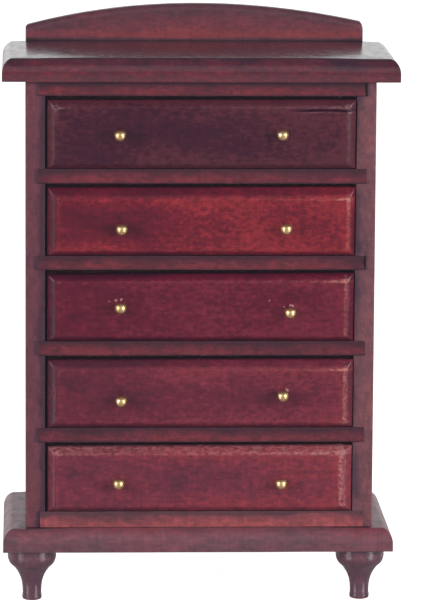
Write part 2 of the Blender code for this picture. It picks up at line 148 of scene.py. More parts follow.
# Painted shading across a rail's front, from its lower to its upper edge: darker along both edges,
# so that it looks rounded and shaded by the drawers; the sill is not darkened low down.
RAIL_SHADING_HEIGHTS = (0.0, 0.12, 0.30, 0.65, 1.0)      # shares of a rail's thickness
RAIL_PAINTED_SHADING = (-1.2, 0.9, 0.8, -0.1, -1.8)
SILL_PAINTED_SHADING = (1.0, 0.9, 0.8, -0.1, -1.8)
END_PAINTED_SHADE_START = 27.5 * MM      # painted shade: the rails darken from here to the sides, carrying on the sides' painted shade
END_PAINTED_SHADE_RUN = 1.5 * MM
END_PAINTED_SHADE_LEFT = 0.5
END_PAINTED_SHADE_RIGHT = 0.3
SIDE_WARMTH = 0.6                # along the sides' outer edges
SIDE_PAINTED_SHADE_LEFT = 1.6            # and the painted shade along their inner edges, by the drawer gaps
SIDE_PAINTED_SHADE_RIGHT = 0.7
CREST_WARMTH = 0.9               # low on the crest, and as much darkness under its arch
CREST_WARM_RUN = 3.0 * MM
CONTACT_PAINTED_SHADOW = 4.0               # painted shadow in the joint of the crest and the top
CONTACT_WIDTH = 0.45 * MM
CONTACT_GLOW = 1.2               # the reddish band on the crest above that joint
CONTACT_GLOW_HEIGHT = 1.1 * MM
CONTACT_GLOW_WIDTH = 0.7 * MM
TOP_REAR_PAINTED_SHADE = 3.0              # painted shade on the top board's flat along the crest
TOP_REAR_WIDTH = 0.8 * MM

# Turned feet: heights and radii of the profile
SHOULDER_RADIUS = 4.55 * MM
SHOULDER_ROUND = 1.4 * MM
SHOULDER_HALF_HEIGHT = 2.15 * MM
SHOULDER_Z = 8.6 * MM
SHOULDER_END = math.radians(68)
ANKLE_RADIUS = 1.76 * MM
ANKLE_Z = 1.3 * MM
HOLLOW_POWER = 2.65
TOE_RADIUS = 1.84 * MM
TOE_Z = 0.6 * MM
SOLE_RADIUS = 1.58 * MM
SHOULDER_STEPS = 14
HOLLOW_STEPS = 18
FOOT_TURNS = 72                  # flat faces around a foot

# Brass knobs
BALL_RADIUS = 1.1 * MM
NECK_RADIUS = 0.55 * MM
FLARE_RADIUS = 0.75 * MM
BALL_STEPS = 24
KNOB_TURNS = 48


class Tone(NamedTuple):
    """Linear colours of one lacquered piece, which took the stain unevenly."""

    base: tuple
    deep: tuple
    warm: tuple
    rubbed: tuple = (0.40, 0.15, 0.12)


class Gloss(NamedTuple):
    """How shiny and how smooth a lacquered surface is."""

    roughness: float
    specular: float
    ripple: float                # height of the lacquer's unevenness, in millimetres
    grain: float                 # depth of the fibres that show through, in millimetres


class BoardStainAndShade(NamedTuple):
    """Stain and painted shading on a moulded board: on its edge's upper and lower halves, and on
    its flats.
    """

    upper: float
    lower: float
    flat: float


class Edges(NamedTuple):
    """One value for each edge of a drawer front."""

    left: float
    right: float
    top: float
    bottom: float


class Corners(NamedTuple):
    """One value for each corner of a drawer front's face."""

    top_left: float
    top_right: float
    bottom_left: float
    bottom_right: float


class Front(NamedTuple):
    """How one drawer front was worked and worn, with lengths in millimetres: the widths of its
    rounded edges, how far its upper edge was planed down at each end, how far the lacquer is
    rubbed off its edges and corners, from 0 to 1, its chips by the knobs, the stain and painted
    shade on its rounded edges, and how dusty the upper one is. A chip is (side, distance to the
    right of that side's knob, distance above it, radius)."""

    rounding: Edges
    planed_left: float
    planed_right: float
    rub: Edges
    corners: Corners
    chips: tuple = ()
    # painted shade: by default the rounded edges are painted darker, by the gaps round the drawer
    edge_stain_and_shade: float = -1.5
    dust: float = 0.0


# The warm colours' extra green and blue is a painted sheen, which the fronts show towards the
# right.
FRONT_TONES = (
    # The first front's rubbed colour is a pale grey: along its arrises the rubbing is partly a
    # painted highlight.
    Tone((0.033, 0.004, 0.013), (0.017, 0.003, 0.011), (0.063, 0.012, 0.019),
         (0.24, 0.13, 0.15)),
    Tone((0.100, 0.005, 0.014), (0.059, 0.003, 0.011), (0.190, 0.014, 0.019)),
    Tone((0.075, 0.003, 0.014), (0.042, 0.002, 0.012), (0.119, 0.010, 0.022)),
    Tone((0.092, 0.010, 0.022), (0.054, 0.008, 0.018), (0.144, 0.018, 0.029)),
    Tone((0.110, 0.016, 0.030), (0.054, 0.012, 0.024), (0.177, 0.022, 0.031),
         (0.31, 0.12, 0.12)),
)
# The rubbing of the arrises, heaviest on the right and at the upper corners, is partly real wear
# and partly a painted highlight where the lamps catch the rounded edges and their mitres.
FRONTS = (
    # painted light on the first front's rounded edges, lifting them out of the top board's shadow
    Front(Edges(1.5, 1.5, 1.25, 1.2), 0.15, 0.00,
          Edges(0.08, 0.30, 0.40, 0.05), Corners(0.7, 0.5, 0.0, 0.0), edge_stain_and_shade=1.0),
    Front(Edges(1.9, 1.35, 2.1, 1.2), 0.15, 0.00,
          Edges(0.18, 0.35, 0.35, 0.10), Corners(0.3, 1.0, 0.1, 0.2)),
    Front(Edges(1.9, 1.6, 1.3, 1.2), 0.30, 0.00,
          Edges(0.10, 0.35, 0.35, 0.05), Corners(0.2, 0.9, 0.0, 0.2),
          (("left", -0.83, 1.25, 0.30), ("left", 0.15, 1.35, 0.28), ("left", -2.1, 1.0, 0.14),
           ("right", 0.15, 1.20, 0.32), ("right", 0.55, 1.00, 0.24), ("right", -3.8, 2.0, 0.18),
           ("right", -1.1, 0.9, 0.16))),
    Front(Edges(1.9, 1.6, 1.75, 1.2), 0.20, 0.10,
          Edges(0.12, 0.45, 0.35, 0.05), Corners(0.3, 1.0, 0.1, 0.7),
          (("right", 0.95, 0.85, 0.28), ("right", 0.70, 1.10, 0.20))),
    Front(Edges(1.6, 2.0, 1.25, 1.2), 0.20, 0.05,
          Edges(0.15, 0.90, 0.70, 0.10), Corners(0.4, 1.0, 0.2, 0.5),
          edge_stain_and_shade=-0.5, dust=0.55),
)
CHIP_COLOUR = (0.42, 0.21, 0.24)
TOP_EDGE = Edges._fields.index("top")
RUB_CENTRE = 0.05 * MM           # rubbing is strongest just inside an arris
RUB_LEFT_SHARE = 0.35            # of the upper arris's rubbing, at its left end
CORNER_REACH = 2.2 * MM          # a worn corner's lines, partly a painted highlight, fade over this length
CORNER_SPOT = 0.55 * MM
CORNER_EDGES = {                 # places in Edges of the two that meet at each corner
    "top_left": (0, 2),
    "top_right": (1, 2),
    "bottom_left": (0, 3),
    "bottom_right": (1, 3),
}
SPLIT_START = 15.5 * MM          # a crack under the upper right arris of the top drawer
SPLIT_BELOW = 1.85 * MM
SPLIT_WIDTH = 0.18 * MM
SPLIT_DEPTH = 0.32 * MM
SPLIT_RUN = 4.0 * MM             # it opens to its full depth over this length
SPLIT_WAVE = 0.06 * MM           # it wanders up and down by this much
SPLIT_WAVE_LENGTH = 1.3 * MM
SPLIT_DARK = 4.0
SPLIT_LIP_WEAR = 0.4

RAIL_TONE = Tone((0.069, 0.010, 0.018), (0.036, 0.007, 0.014), (0.124, 0.015, 0.022))
SILL_TONE = Tone((0.165, 0.036, 0.044), (0.070, 0.024, 0.032), (0.260, 0.052, 0.052))
LEFT_TONE = Tone((0.094, 0.025, 0.036), (0.039, 0.013, 0.025), (0.117, 0.030, 0.038))
RIGHT_TONE = Tone((0.110, 0.039, 0.048), (0.050, 0.021, 0.033), (0.150, 0.046, 0.051))
TOP_TONE = Tone((0.063, 0.010, 0.019), (0.028, 0.008, 0.018), (0.109, 0.012, 0.019))
BASE_TONE = Tone((0.128, 0.042, 0.056), (0.078, 0.036, 0.047), (0.176, 0.034, 0.041))
CREST_TONE = Tone((0.120, 0.028, 0.039), (0.073, 0.025, 0.034), (0.163, 0.030, 0.034))
FOOT_TONE = Tone((0.079, 0.029, 0.046), (0.047, 0.023, 0.041), (0.116, 0.031, 0.046))
# painted shading on the top board: its moulding darker above and lighter below, as lit from below,
# and its flat darker, as in shade
TOP_PAINTED_SHADING = BoardStainAndShade(-0.3, 0.4, -1.4)
BASE_STAIN = BoardStainAndShade(0.3, -0.3, 0.0)

TOP_GLOSS = Gloss(0.17, 0.50, 0.004, 0.001)
BASE_GLOSS = Gloss(0.36, 0.35, 0.02, 0.008)
CASE_GLOSS = Gloss(0.36, 0.30, 0.02, 0.010)
FRONT_GLOSS = Gloss(0.26, 0.20, 0.02, 0.006)
FOOT_GLOSS = Gloss(0.25, 0.55, 0.008, 0.003)


# ------------------------ meshes

def ticks(low, high, step, fine=0.0, count=0):
    """Places from low to high about step apart, with count closer ones in a fine band
    inside each end."""
    inner = np.linspace(low + fine, high - fine, max(2, round((high - low - 2 * fine) / step) + 1))
    if not count:
        return inner
    band = np.linspace(0.0, fine, count + 1)[:-1]
    return np.concatenate([low + band, inner, (high - band)[::-1]])


def lattice(us, vs, ws):
    """Surface points (u, v, w) of a box that is ruled at the given ticks, and its quads."""
    counts = (len(us), len(vs), len(ws))
    places = np.indices(counts)
    on_skin = np.zeros(counts, bool)
    for axis, count in enumerate(counts):
        on_skin |= (places[axis] == 0) | (places[axis] == count - 1)
    number = np.full(counts, -1)
    number[on_skin] = np.arange(on_skin.sum())
    points = np.stack([np.asarray(t)[places[a][on_skin]] for a, t in enumerate((us, vs, ws))], 1)
    quads = []
    for axis in range(3):
        for end, flip in ((0, axis != 1), (-1, axis == 1)):
            face = np.take(number, end, axis=axis)
            ring = [face[:-1, :-1], face[1:, :-1], face[1:, 1:], face[:-1, 1:]]
            ring = ring[::-1] if flip else ring
            quads.append(np.stack([corner.ravel() for corner in ring], 1))
    return points, np.concatenate(quads).tolist()


def soften(points, low, high, radius):
    """Rounds the edges and corners of a box whose surface points these are."""
    inner = np.clip(points, low + radius, high - radius)
    away = points - inner
    reach = np.linalg.norm(away, axis=1, keepdims=True)
    return inner + away / np.maximum(reach, 1e-12) * radius


def bell(distance, width):
    """1 where the distance is 0, falling to 0 about twice the width away."""
    return np.exp(-(distance / width) ** 2)


def nearness(points, low, high, width):
    """1 on the edges of a box, falling to 0 about twice the width away from them."""
    gaps = np.sort(np.minimum(points - low, high - points), axis=1)
    return bell(gaps[:, 1], width)


def field(points, size, seed):
    """Smooth noise from -1 to 1 at each point, in bumps of about the given size."""
    shift = Vector((seed * 17.3, seed * 5.1, seed * 9.7))
    return np.array([noise.noise(Vector(p) / size + shift) for p in points])


def uneven(points, amount, size, seed):
    """Points moved a little, as hand-cut and hand-sanded wood is never quite true."""
    moved = points.copy()
    for axis in range(3):
        moved[:, axis] += amount * field(points, size, seed + axis * 3.7)
    return moved


def add_piece(node, points, faces, material, wear=None, stain=None):
    """A fine mesh that stands for a CAD node and moves with its body."""
    mesh = bpy.data.meshes.new("fine_" + node)
    mesh.from_pydata(points.tolist(), [], faces)
    for name, values in (("wear", wear), ("stain", stain)):
        painted = mesh.attributes.new(name, "FLOAT", "POINT")
        if values is not None:
            painted.data.foreach_set("value", np.asarray(values, np.float32))
    mesh.shade_smooth()
    mesh.set_sharp_from_angle(angle=SHARP_ANGLE)
    mesh.materials.append(material)
    piece = bpy.data.objects.new("fine_" + node, mesh)
    bpy.context.scene.collection.objects.link(piece)
    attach(piece, BODY_OF[node])
    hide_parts(node)
    return piece


def corners_of(node):
    """The low and high corners of a CAD node's box."""
    low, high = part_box(node)
    return np.array(low), np.array(high)


# ------------------------ materials

class Recipe:
    """Short calls for writing the node tree of a material or a world."""

    def __init__(self, owner):
        owner.use_nodes = True
        self.owner = owner
        self.tree = owner.node_tree

    def node(self, kind, **settings):
        made = self.tree.nodes.new("ShaderNode" + kind)
        for key, value in settings.items():
            setattr(made, key, value)
        return made

    def feed(self, socket, value):
        if isinstance(value, bpy.types.NodeSocket):
            self.tree.links.new(value, socket)
        elif isinstance(value, tuple) and len(value) == 3 and socket.type == "RGBA":
            socket.default_value = (*value, 1.0)
        else:
            socket.default_value = value

    def maths(self, operation, *values):
        made = self.node("Math", operation=operation)
        for socket, value in zip(made.inputs, values):
            self.feed(socket, value)
        return made.outputs[0]

    def place(self, stretch):
        """Object coordinates in millimetres, divided by stretch along each axis."""
        made = self.node("Mapping")
        self.feed(made.inputs["Vector"], self.node("TexCoord").outputs["Object"])
        made.inputs["Scale"].default_value = [1 / (MM * share) for share in stretch]
        return made.outputs[0]

    def noise(self, stretch, detail=2.0, roughness=0.5, seed=0.0):
        """Noise from 0 to 1 whose bumps measure about stretch millimetres."""
        made = self.node("TexNoise", noise_dimensions="4D")
        self.feed(made.inputs["Vector"], self.place(stretch))
        made.inputs["W"].default_value = seed
        made.inputs["Scale"].default_value = 1.0
        made.inputs["Detail"].default_value = detail
        made.inputs["Roughness"].default_value = roughness
        return made.outputs["Fac"]

    def band(self, value, low, high, start=0.0, end=1.0):
        """Smooth change from start to end while value goes from low to high."""
        made = self.node("MapRange", interpolation_type="SMOOTHSTEP")
        for socket, number in zip(made.inputs, (value, low, high, start, end)):
            self.feed(socket, number)
        return made.outputs[0]

    def mix(self, share, first, second, mode="MIX"):
        made = self.node("Mix", data_type="RGBA", blend_type=mode)
        self.feed(made.inputs[0], share)
        self.feed(made.inputs[6], first)
        self.feed(made.inputs[7], second)
        return made.outputs[2]

    def attribute(self, name):
        return self.node("Attribute", attribute_name=name).outputs["Fac"]

    def bump(self, height, distance, strength=1.0, under=None):
        made = self.node("Bump")
        made.inputs["Strength"].default_value = strength
        made.inputs["Distance"].default_value = distance
        self.feed(made.inputs["Height"], height)
        if under is not None:
            self.feed(made.inputs["Normal"], under)
        return made.outputs[0]

    def sum(self, *terms):
        """Adds up (factor, value) pairs."""
        total = 0.0
        for factor, value in terms:
            total = self.maths("MULTIPLY_ADD", value, factor, total)
        return total

    def finish(self, colour, roughness, normal, metallic=0.0, specular=0.5):
        shader = self.tree.nodes["Principled BSDF"]
        self.feed(shader.inputs["Base Color"], colour)
        self.feed(shader.inputs["Roughness"], roughness)
        self.feed(shader.inputs["Normal"], normal)
        self.feed(shader.inputs["Metallic"], metallic)
        self.feed(shader.inputs["Specular IOR Level"], specular)
        return self.owner


def along(axis, length, across):
    """Stretch of a noise whose bumps are long along one axis."""
    stretch = [across, across, across]
    stretch["XYZ".index(axis)] = length
    return stretch


def chipped(made, chips, face):
    """1 inside the chips of a face, which are given as (x, z, radius)."""
    place = made.place((1.0, 1.0, 1.0))
    crumbs = made.noise((0.3, 0.3, 0.3), 3.0, 0.6)
    total = 0.0
    for x, height, radius in chips:
        away = made.node("VectorMath", operation="DISTANCE")
        made.feed(away.inputs[0], place)
        away.inputs[1].default_value = (x, face, height)
        frayed = made.sum((1.0, away.outputs["Value"]), (2.6 * radius, crumbs))
        total = made.maths("ADD", made.band(frayed, 2.5 * radius, 1.7 * radius), total)
    return total


def lacquered(name, tone, gloss, axis="X", seed=0.0, chips=(), face=0.0):
    """Stained, lacquered hardwood: cloudy stain, fibres and pores along the grain, faint planing
    marks across it, and lacquer rubbed thin on worn edges. The stain and wear values it reads also
    carry painted shade, painted shadows, a painted sheen and painted highlights."""
    made = Recipe(bpy.data.materials.new(name))
    cloud = made.noise(along(axis, 15.0, 6.0), 3.0, 0.6, seed)
    mottle = made.noise(along(axis, 1.3, 0.8), 4.0, 0.65, seed + 4)
    fibre = made.noise(along(axis, 3.0, 0.16), 3.0, 0.6, seed + 8)
    pores = made.noise(along(axis, 1.2, 0.10), 2.0, 0.5, seed + 12)
    planing = made.noise(along(axis, 0.32, 6.0), 2.0, 0.5, seed + 28)
    stain = made.attribute("stain")

    depth = made.sum((0.75, cloud), (0.25, mottle), (0.16, stain))
    colour = made.mix(made.band(depth, 0.52, 0.34), tone.base, tone.deep)
    heat = made.sum((0.45, cloud), (0.55, mottle), (0.12, stain))
    colour = made.mix(made.band(heat, 0.50, 0.68), colour, tone.warm)
    blotch = made.noise(along(axis, 2.6, 1.8), 3.0, 0.6, seed + 32)
    shade = made.sum((0.30, fibre), (0.25, mottle), (0.15, planing), (0.30, blotch))
    colour = made.mix(1.0, colour, made.band(shade, 0.32, 0.68, 0.66, 1.34), "MULTIPLY")
    pore = made.band(pores, 0.60, 0.72)
    colour = made.mix(made.maths("MULTIPLY", pore, 0.35), colour, tone.deep)
    # stain far below 0 darkens the colour further: the painted shadows in joints, and the crack
    colour = made.mix(1.0, colour, made.band(stain, -1.5, -4.0, 1.0, 0.25), "MULTIPLY")

    ragged = made.noise(along(axis, 0.9, 0.5), 5.0, 0.7, seed + 16)
    wear = made.attribute("wear")
    frayed = made.maths("MULTIPLY", wear, made.band(ragged, 0.36, 0.62, 0.15, 1.40))
    colour = made.mix(made.band(frayed, 0.05, 1.20, 0.0, 0.9), colour, tone.rubbed)
    chip = chipped(made, chips, face)
    colour = made.mix(made.maths("MULTIPLY", chip, 0.6), colour, CHIP_COLOUR)
    rubbing = made.maths("ADD", frayed, chip)

    dull = made.noise([1.6, 1.6, 1.6], 3.0, 0.6, seed + 20)
    rough = made.band(dull, 0.3, 0.7, gloss.roughness - 0.05, gloss.roughness + 0.07)
    rough = made.sum((1.0, rough), (0.15, rubbing), (0.08, pore))

    ripple = made.noise([1.3, 1.3, 1.3], 2.0, 0.5, seed + 24)
    normal = made.bump(ripple, gloss.ripple * MM)
    grooves = made.sum((1.0, fibre), (0.5, planing), (-0.6, pore))
    normal = made.bump(grooves, gloss.grain * MM, 1.0, normal)
    return made.finish(colour, rough, normal, specular=gloss.specular)


def bare_wood(name, axis, seed=0.0):
    """Pale unfinished wood with fine fibres and a few stains from the lacquer."""
    made = Recipe(bpy.data.materials.new(name))
    bands = made.noise(along(axis, 40.0, 1.2), 2.0, 0.5, seed)
    fibre = made.noise(along(axis, 6.0, 0.14), 3.0, 0.6, seed + 3)
    pores = made.noise(along(axis, 1.1, 0.09), 2.0, 0.5, seed + 6)
    stain = made.noise([9.0, 9.0, 9.0], 4.0, 0.6, seed + 9)
    colour = made.mix(made.band(bands, 0.3, 0.7), (0.50, 0.30, 0.16), (0.63, 0.43, 0.25))
    colour = made.mix(1.0, colour, made.band(fibre, 0.25, 0.75, 0.82, 1.12), "MULTIPLY")
    pore = made.band(pores, 0.6, 0.72)
    colour = made.mix(made.maths("MULTIPLY", pore, 0.5), colour, (0.26, 0.13, 0.07))
    colour = made.mix(made.band(stain, 0.62, 0.78, 0.0, 0.4), colour, (0.28, 0.09, 0.06))
    rough = made.band(fibre, 0.3, 0.7, 0.62, 0.78)
    normal = made.bump(made.maths("SUBTRACT", fibre, pore), 0.03 * MM)
    return made.finish(colour, rough, normal)


def polished_brass(name):
    """Turned brass, a little tarnished, with faint turning marks."""
    made = Recipe(bpy.data.materials.new(name))
    cloud = made.noise([0.6, 0.6, 0.6], 3.0, 0.6)
    speck = made.noise([0.12, 0.12, 0.12], 2.0, 0.6, 3.0)
    rings = made.noise([60.0, 0.05, 60.0], 1.0, 0.5, 6.0)
    colour = made.mix(made.band(cloud, 0.35, 0.7), (0.70, 0.49, 0.25), (0.54, 0.35, 0.15))
    colour = made.mix(made.band(speck, 0.60, 0.75, 0.0, 0.5), colour, (0.22, 0.14, 0.07))
    rough = made.band(cloud, 0.3, 0.7, 0.30, 0.42)
    normal = made.bump(rings, 0.004 * MM)
    return made.finish(colour, rough, normal, metallic=1.0)


# ------------------------ worked boards

def worked_edge(slopes):
    """Shares of a worked edge's width and drop along its path, from the outer wall to the
    flat. The slopes against the flat are in degrees, and the steps between them are equal."""
    middles = np.radians((np.array(slopes[:-1]) + slopes[1:]) / 2)
    inset = np.append(0.0, np.cumsum(np.cos(middles)))
    rise = np.append(0.0, np.cumsum(np.sin(middles)))
    return list(zip(inset / inset[-1], rise / rise[-1]))


def ring_values(rings, points):
    """One array for each column of the rings, at the points that lie on them."""
    table = np.array(rings)
    return (table[points[:, 2].astype(int), column] for column in range(table.shape[1]))


def crown_drop(x, inside):
    """How far a board's flat has been sanded down, at points that lie inside its arris."""
    to_end = np.clip((np.abs(x) - CROWN_LEVEL) / CROWN_LEVEL, 0, 1)
    drop = CROWN_DROP * (1 - np.clip(inside / CROWN_WIDTH, 0, 1)) ** 2
    return drop + CROWN_END_DROP * to_end**2 * (1 - np.clip(inside / CROWN_END_WIDTH, 0, 1)) ** 2


def worked_board(node, material, seed, tint):
    """The top or base board: flat above and below, moulded at the front and both ends."""
    low, high = corners_of(node)
    low, high = low + CLEAR, high - CLEAR
    us = ticks(0.0, 1.0, step=0.0085, fine=0.03, count=5)
    vs = ticks(0.0, 1.0, step=0.022, fine=0.18, count=14)
    thick = high[2] - low[2]
    rings = [(inset * MM, height * MM) for inset, height in LOWER_ARRIS]
    for inset, rise in worked_edge(MOULDING_SLOPES):
        rings.append((inset * MOULDING_WIDTH, thick - MOULDING_DROP * (1 - rise)))
    rings.append((MOULDING_WIDTH + ARRIS, thick))
    points, quads = lattice(us, vs, range(len(rings)))
    inset, height = ring_values(rings, points)
    x = low[0] + inset + (high[0] - low[0] - 2 * inset) * points[:, 0]
    y = low[1] + inset + (high[1] - low[1] - inset) * points[:, 1]
    edge = np.minimum(np.minimum(x - low[0], high[0] - x), y - low[1])
    lift = np.clip((height - thick + MOULDING_DROP) / MOULDING_DROP, 0, 1)
    z = low[2] + height - crown_drop(x, edge - MOULDING_WIDTH) * lift
    upper_arris = bell(edge - MOULDING_WIDTH, MOULDING_RUB) * (height > thick / 2)
    lower_arris = bell(z - low[2], MOULDING_RUB) * (edge < ARRIS_REACH)
    wear = UPPER_WEAR * upper_arris + LOWER_WEAR * lower_arris
    # on the top board this is painted shading
    on_edge = np.clip(1.5 - edge / MOULDING_WIDTH, 0, 1)
    edge_stain_and_shade = np.interp(height / thick, (0.45, 0.75), (tint.lower, tint.upper))
    stain = on_edge * edge_stain_and_shade + tint.flat * (1 - on_edge)
    if node == "top_board":
        # painted shade on the flat along the crest
        stain -= TOP_REAR_PAINTED_SHADE * bell(high[1] - y, TOP_REAR_WIDTH)
    solid = uneven(np.stack([x, y, z], 1), *BOARD_WANDER, seed)
    return add_piece(node, solid, quads, material, wear, stain)


def slot_cut(node, x, y, reach):
    """How far a short board's end is drawn in, at points that are reach up its thickness."""
    if node not in SLOTS:
        return 0.0
    end, widths = SLOTS[node]
    width = np.interp(reach, (0.0, 0.5, 1.0), widths)
    near_end = np.clip((end * x - SLOT_RUN_START) / SLOT_RUN, 0, 1)
    return -end * width * near_end * (y < SLOT_DEPTH)


def make_rail(node, material, seed):
    """A dust board with softened edges. Glue and lacquer fill its joint with the sides,
    except where it was cut short and an open slot is left."""
    low, high = corners_of(node)
    lean = RIGHT_LEAN * (CASE_HEAD - low[2]) / (CASE_HEAD - CASE_FOOT)
    low[0] = -HOUSING_LEFT_END - CLEAR
    high[0] = HOUSING_RIGHT_END + CLEAR + lean
    low[1] -= RAIL_PROUD
    low[2] -= GLUE - CLEAR
    high[2] += GLUE - CLEAR if node != "case_top" else -CLEAR
    front = low[1] + np.array(RAIL_FRONT_ROWS) * MM
    rules = [
        ticks(low[0], high[0], step=0.6 * MM, fine=0.2 * MM, count=4),
        np.concatenate([front, np.linspace(low[1] + 1 * MM, high[1], 14)]),
        ticks(low[2], high[2], step=0.35 * MM, fine=0.12 * MM, count=4),
    ]
    points, quads = lattice(*rules)
    wear = RAIL_WEAR * nearness(points[:, 1:], low[1:], high[1:], ARRIS_REACH)
    reach = (points[:, 2] - low[2]) / (high[2] - low[2])
    cut = slot_cut(node, points[:, 0], points[:, 1] - low[1], reach)
    solid = soften(points, low, high, RAIL_ROUNDING)
    solid[:, 0] += cut
    solid = uneven(solid, *RAIL_WANDER, seed)
    # painted shade at the rail's ends, by the drawer gaps
    to_end = np.clip((np.abs(points[:, 0]) - END_PAINTED_SHADE_START) / END_PAINTED_SHADE_RUN, 0, 1)
    stain = -to_end * np.where(points[:, 0] < 0, END_PAINTED_SHADE_LEFT, END_PAINTED_SHADE_RIGHT)
    # painted shading across the rail's front
    tint = SILL_PAINTED_SHADING if node == "case_bottom" else RAIL_PAINTED_SHADING
    stain += np.interp(reach, RAIL_SHADING_HEIGHTS, tint)
    return add_piece(node, solid, quads, material, wear, stain)


def filled_ticks(knots, step):
    """Every knot, and places about step apart between them."""
    parts = [np.linspace(a, b, max(2, round((b - a) / step) + 1))[:-1]
             for a, b in zip(knots, knots[1:])]
    return np.append(np.concatenate(parts), knots[-1])


def make_side(node, hand, lean, material):
    """A side board with a through groove for each dust board. Hand is 1 for the right one.
    The board is built upright, and its foot is moved out by lean at the end."""
    low, high = corners_of(node)
    outer = (high[0] - lean) if hand > 0 else low[0]
    thick = high[0] - low[0] - lean
    low[0], high[0] = sorted((outer, outer - hand * thick))
    grooves = []
    for board in RAILS:
        board_low, board_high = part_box(board)
        grooves.append((board_low[2] - GLUE, board_high[2] + GLUE))
    knots = [low[2], high[2]]
    for start, end in grooves:
        knots += [start - HOUSING_SLOPE, start, end, end + HOUSING_SLOPE]
    knots = sorted(k for k in knots if low[2] <= k <= high[2])
    rules = [
        ticks(low[0], high[0], step=0.4 * MM, fine=0.4 * MM, count=4),
        ticks(low[1], high[1], step=1.5 * MM, fine=0.4 * MM, count=4),
        filled_ticks(knots, 1.2 * MM),
    ]
    points, quads = lattice(*rules)
    wear = SIDE_WEAR * nearness(points[:, :2], low[:2], high[:2], ARRIS_REACH)
    from_outer = np.abs(points[:, 0] - outer) / thick
    shade = SIDE_PAINTED_SHADE_RIGHT if hand > 0 else SIDE_PAINTED_SHADE_LEFT
    stain = SIDE_WARMTH * np.exp(-from_outer / 0.35)
    # painted shade along the inner edge, by the drawer gaps
    stain -= shade * np.clip((from_outer - 0.55) / 0.45, 0, 1)
    edge = np.where(from_outer < 0.5, SIDE_OUTER_ROUNDING, SIDE_INNER_ROUNDING)
    radius = np.stack([edge, edge, np.full(len(points), SIDE_END_ROUNDING)], 1)
    inner = np.clip(points, low + radius, high - radius)
    away = (points - inner) / radius
    reach = np.maximum(np.linalg.norm(away, axis=1, keepdims=True), 1.0)
    solid = inner + away / reach * radius
    grooved = np.zeros(len(solid), bool)
    for start, end in grooves:
        grooved |= (points[:, 2] > start - TINY) & (points[:, 2] < end + TINY)
    groove_end = HOUSING_RIGHT_END if hand > 0 else HOUSING_LEFT_END
    left = np.where(grooved, (abs(outer) - groove_end) / thick, 1.0)
    solid[:, 0] = outer + (solid[:, 0] - outer) * left
    down = (high[2] - solid[:, 2]) / (high[2] - low[2])
    solid[:, 0] += lean * down * np.where((from_outer > 0.99) & ~grooved, INNER_LEAN, 1.0)
    return add_piece(node, solid, quads, material, wear, stain)


def crest_height(x, middle, half, apex):
    """Height of the back board's arched head, whose two halves fall to unequal ends."""
    across = np.clip(np.abs(x - middle), 0, half)
    on_left = x < middle
    fall = np.where(on_left, CREST_LEFT_FALL, CREST_RIGHT_FALL)
    radius = (half**2 + fall**2) / (2 * fall)
    width = np.where(on_left, CREST_LEFT_CORNER[0], CREST_RIGHT_CORNER[0])
    height = np.where(on_left, CREST_LEFT_CORNER[1], CREST_RIGHT_CORNER[1])
    to_end = np.clip(1 - (half - across) / width, 0, 1)
    corner = height * (1 - np.sqrt(1 - to_end**2))
    return apex - (radius - np.sqrt(radius**2 - across**2)) - corner


def make_back_board(material):
    """The board behind the case. Its head is an arch, the crest, with rounded arrises."""
    low, high = corners_of("back_board")
    low, high = low + CLEAR, high - CLEAR
    middle = (low[0] + high[0]) / 2
    half = (high[0] - low[0]) / 2
    us = ticks(0.0, 1.0, step=0.012, fine=0.024, count=10)
    top_of_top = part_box("top_board")[1][2]
    joint = (top_of_top - low[2]) / (high[2] - low[2])
    vs = np.concatenate([
        ticks(0.0, joint - 0.02, step=0.02),
        ticks(joint - 0.018, 0.99, step=0.0025),
        ticks(0.992, 1.0, step=0.002),
    ])
    thick = high[1] - low[1]
    arc = worked_edge(CREST_SLOPES)
    rear = [(inset * CREST_ROUNDING, CREST_ROUNDING * (1 - rise)) for inset, rise in arc[::-1]]
    front = [(inset, thick - depth) for inset, depth in rear[::-1]]
    points, quads = lattice(us, vs, range(len(rear + front)))
    inset, depth = ring_values(rear + front, points)
    trim = np.minimum(inset, CREST_END_ROUNDING)
    x = low[0] + trim + (high[0] - low[0] - 2 * trim) * points[:, 0]
    head = crest_height(x, middle, half, high[2]) - inset
    foot = low[2] + trim
    z = foot + (head - foot) * points[:, 1]
    on_face = depth > thick / 2
    wear = CREST_WEAR * on_face * bell(head - z, 0.4 * MM)
    stain = CREST_WARMTH * np.clip((head - z) / CREST_WARM_RUN - 0.8, -1, 1)
    above_top = z - top_of_top
    stain += CONTACT_GLOW * on_face * bell(above_top - CONTACT_GLOW_HEIGHT, CONTACT_GLOW_WIDTH)
    # painted shadow in the joint with the top
    stain -= CONTACT_PAINTED_SHADOW * on_face * bell(above_top, CONTACT_WIDTH)
    solid = uneven(np.stack([x, high[1] - depth, z], 1), *CREST_WANDER, 31)
    return add_piece("back_board", solid, quads, material, wear, stain)


def round_corners(x, z, left, right, bottom, top, radius):
    """Rounds the corners of the rectangles that points lie on or in."""
    near_x = np.clip(x, left + radius, right - radius)
    near_z = np.clip(z, bottom + radius, top - radius)
    reach = np.hypot(x - near_x, z - near_z)
    pull = np.minimum(1.0, radius / np.maximum(reach, 1e-12))
    return near_x + (x - near_x) * pull, near_z + (z - near_z) * pull


